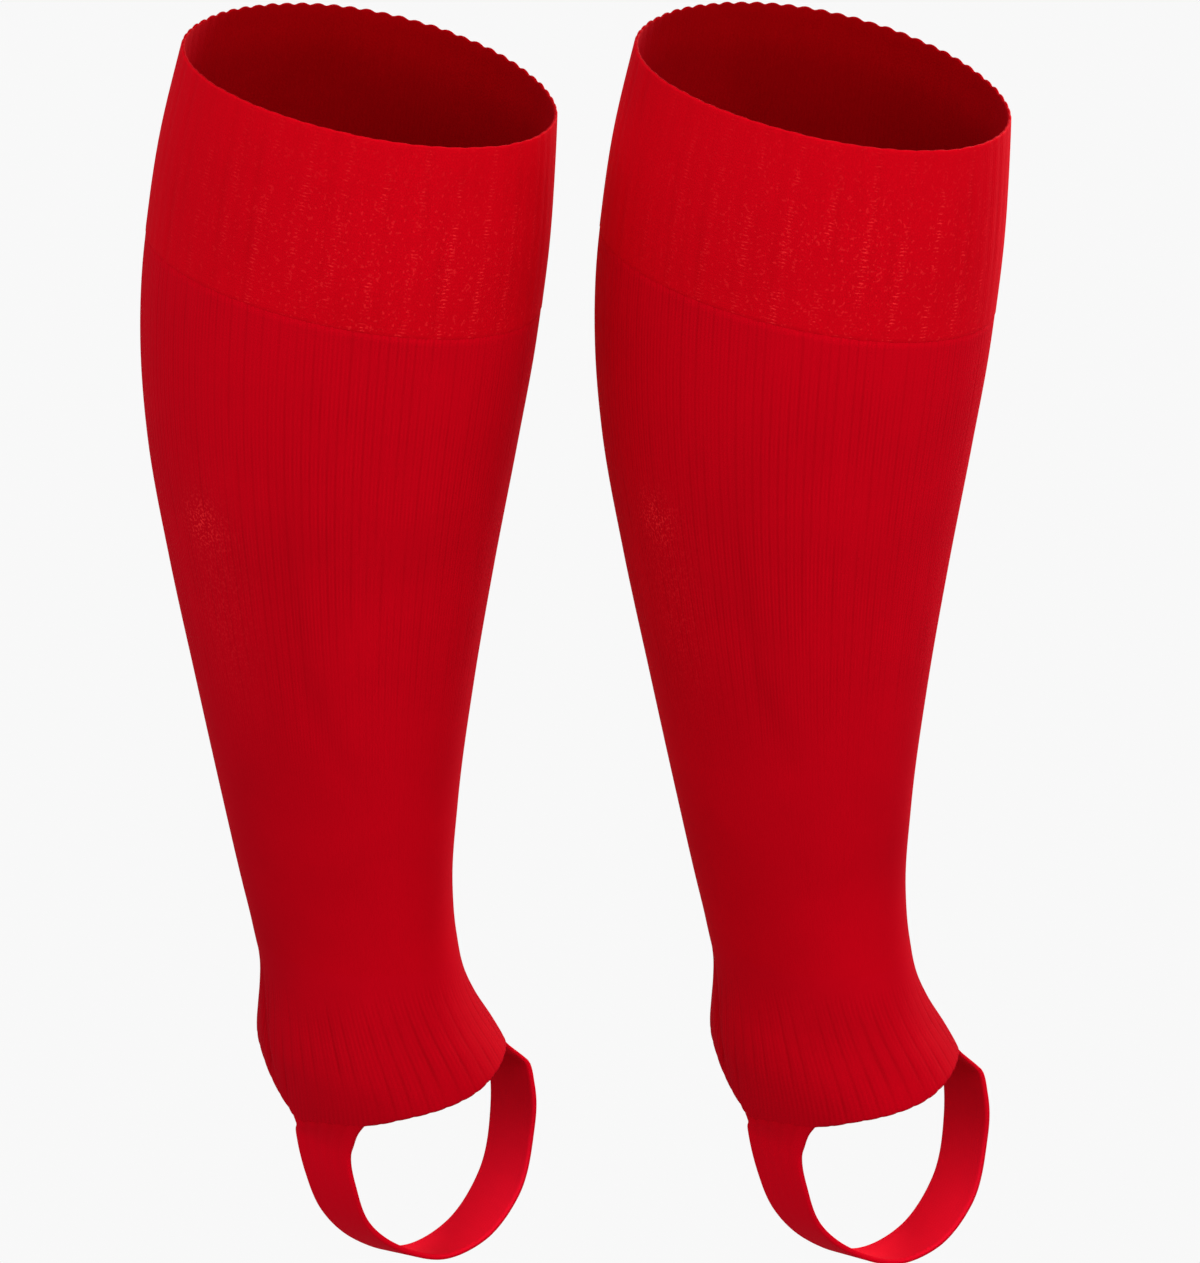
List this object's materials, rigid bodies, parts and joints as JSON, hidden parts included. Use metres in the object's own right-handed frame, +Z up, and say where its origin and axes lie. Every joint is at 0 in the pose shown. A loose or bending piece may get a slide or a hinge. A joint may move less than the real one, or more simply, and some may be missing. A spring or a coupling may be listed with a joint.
{
  "type": "pair of footless socks",
  "caption": "Knee-high knitted socks with a ribbed welt, plain tapering leg, ribbed open ankle and a stirrup band under the arch, filled out as worn.",
  "frame": {"origin": "midway between the two cuffs, at half their height, where the wearer's legs hold the pair", "axes": "+Z up along the legs, +X from the left sock in the picture to the right one, -Y towards the side that the picture shows; both socks point their toe side between +X and -Y"},
  "size_m": [0.2628, 0.1304, 0.3916],
  "materials": {
    "cuff_knit": "ribbed double-layer knit, red",
    "leg_knit": "fine soft knit with faint ribs, red",
    "ankle_knit": "ribbed knit, red",
    "stirrup_knit": "smooth flat knit band, red"
  },
  "bodies": {
    "root": {"left_cuff": "cuff_knit", "left_leg": "leg_knit", "left_ankle": "ankle_knit", "left_stirrup": "stirrup_knit", "right_cuff": "cuff_knit", "right_leg": "leg_knit", "right_ankle": "ankle_knit", "right_stirrup": "stirrup_knit"}
  },
  "joints": []
}
